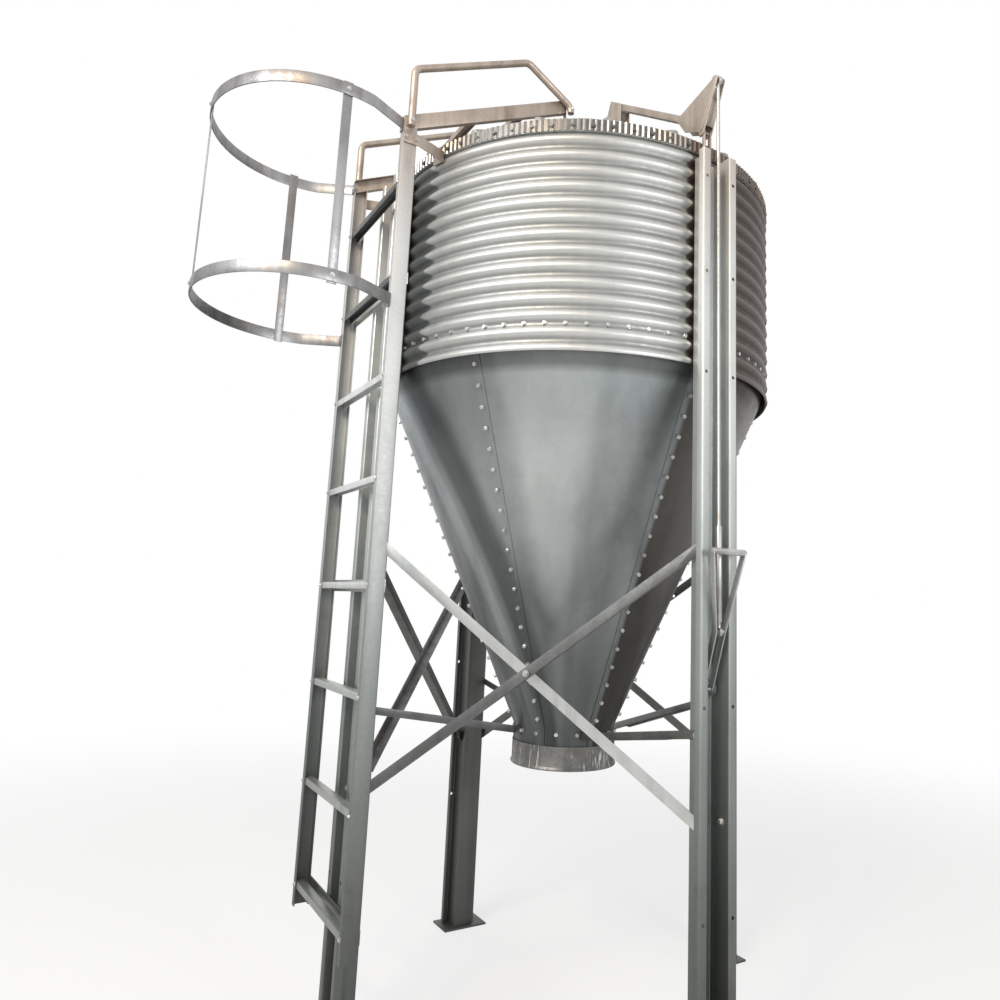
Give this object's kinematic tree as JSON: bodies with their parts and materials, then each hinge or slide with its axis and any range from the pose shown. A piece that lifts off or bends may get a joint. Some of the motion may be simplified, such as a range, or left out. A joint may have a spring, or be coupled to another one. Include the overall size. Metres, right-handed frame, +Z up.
{
  "type": "feed silo on four legs",
  "caption": "Galvanized feed silo with a corrugated wall, a cone hopper, a caged ladder and a roof lid that a handle and a pull rod open.",
  "frame": {"origin": "middle of the silo's whole box, on the floor under its feet", "axes": "+Z up along the silo's height, +X to the right of the front side, +Y to the back"},
  "size_m": [1.917, 1.917, 3.503],
  "materials": {
    "galvanized_sheet": "satin",
    "galvanized_steel": "satin",
    "worn_zinc": "matte"
  },
  "bodies": {
    "frame": {"cross_brace_back": "galvanized_steel", "cross_brace_front": "galvanized_steel", "cross_brace_left": "galvanized_steel", "cross_brace_right": "galvanized_steel", "eave_strut_left": "galvanized_steel", "eave_strut_right": "galvanized_steel", "filling_collar": "galvanized_sheet", "handle_bracket": "galvanized_steel", "handrail_left": "galvanized_steel", "handrail_right": "galvanized_steel", "hopper_panel_1": "galvanized_sheet", "hopper_panel_2": "galvanized_sheet", "hopper_panel_3": "galvanized_sheet", "hopper_panel_4": "galvanized_sheet", "hopper_panel_5": "galvanized_sheet", "hopper_panel_6": "galvanized_sheet", "ladder_bracket_1": "galvanized_steel", "ladder_bracket_2": "galvanized_steel", "ladder_bracket_3": "galvanized_steel", "ladder_cage": "galvanized_steel", "ladder_rung_1": "galvanized_steel", "ladder_rung_2": "galvanized_steel", "ladder_rung_3": "galvanized_steel", "ladder_rung_4": "galvanized_steel", "ladder_rung_5": "galvanized_steel", "ladder_rung_6": "galvanized_steel", "ladder_rung_7": "galvanized_steel", "ladder_rung_8": "galvanized_steel", "ladder_stile_left": "galvanized_steel", "ladder_stile_right": "galvanized_steel", "leg_a": "galvanized_steel", "leg_b": "galvanized_steel", "leg_c": "galvanized_steel", "leg_d": "galvanized_steel", "lid_stand": "galvanized_steel", "outlet_collar": "worn_zinc", "roof_panel_1": "galvanized_sheet", "roof_panel_2": "galvanized_sheet", "roof_panel_3": "galvanized_sheet", "roof_panel_4": "galvanized_sheet", "roof_rung_1": "galvanized_steel", "roof_rung_2": "galvanized_steel", "roof_stringer_left": "galvanized_steel", "roof_stringer_right": "galvanized_steel", "tie_a": "galvanized_steel", "tie_b": "galvanized_steel", "tie_c": "galvanized_steel", "tie_d": "galvanized_steel", "wall_sheet_1": "galvanized_sheet", "wall_sheet_2": "galvanized_sheet", "wall_sheet_3": "galvanized_sheet", "wall_sheet_4": "galvanized_sheet"},
    "handle": {"handle": "galvanized_steel"},
    "pull_rod": {"pull_rod": "galvanized_steel"},
    "lid_arm": {"lid_lever": "galvanized_steel", "lid_post": "galvanized_steel", "lid": "galvanized_sheet"}
  },
  "joints": [
    {"name": "handle_hinge", "type": "hinge", "parent": "frame", "child": "handle", "pos_m": [0.74607, -0.38105, 1.2], "axis": [0.7071, 0.7071, 0], "range_deg": [0, 75]},
    {"name": "rod_hinge", "type": "hinge", "parent": "handle", "child": "pull_rod", "pos_m": [0.78496, -0.41994, 1.375], "axis": [0.7071, 0.7071, 0], "range_deg": [-76, 0]},
    {"name": "lid_hinge", "type": "hinge", "parent": "frame", "child": "lid_arm", "pos_m": [0.73193, -0.36691, 3.08], "axis": [0.7071, 0.7071, 0], "range_deg": [0, 75]}
  ],
  "couplings": [
    {"joint": "rod_hinge", "follows": "handle_hinge", "ratio": -1.0075},
    {"joint": "lid_hinge", "follows": "handle_hinge", "ratio": 0.995}
  ]
}
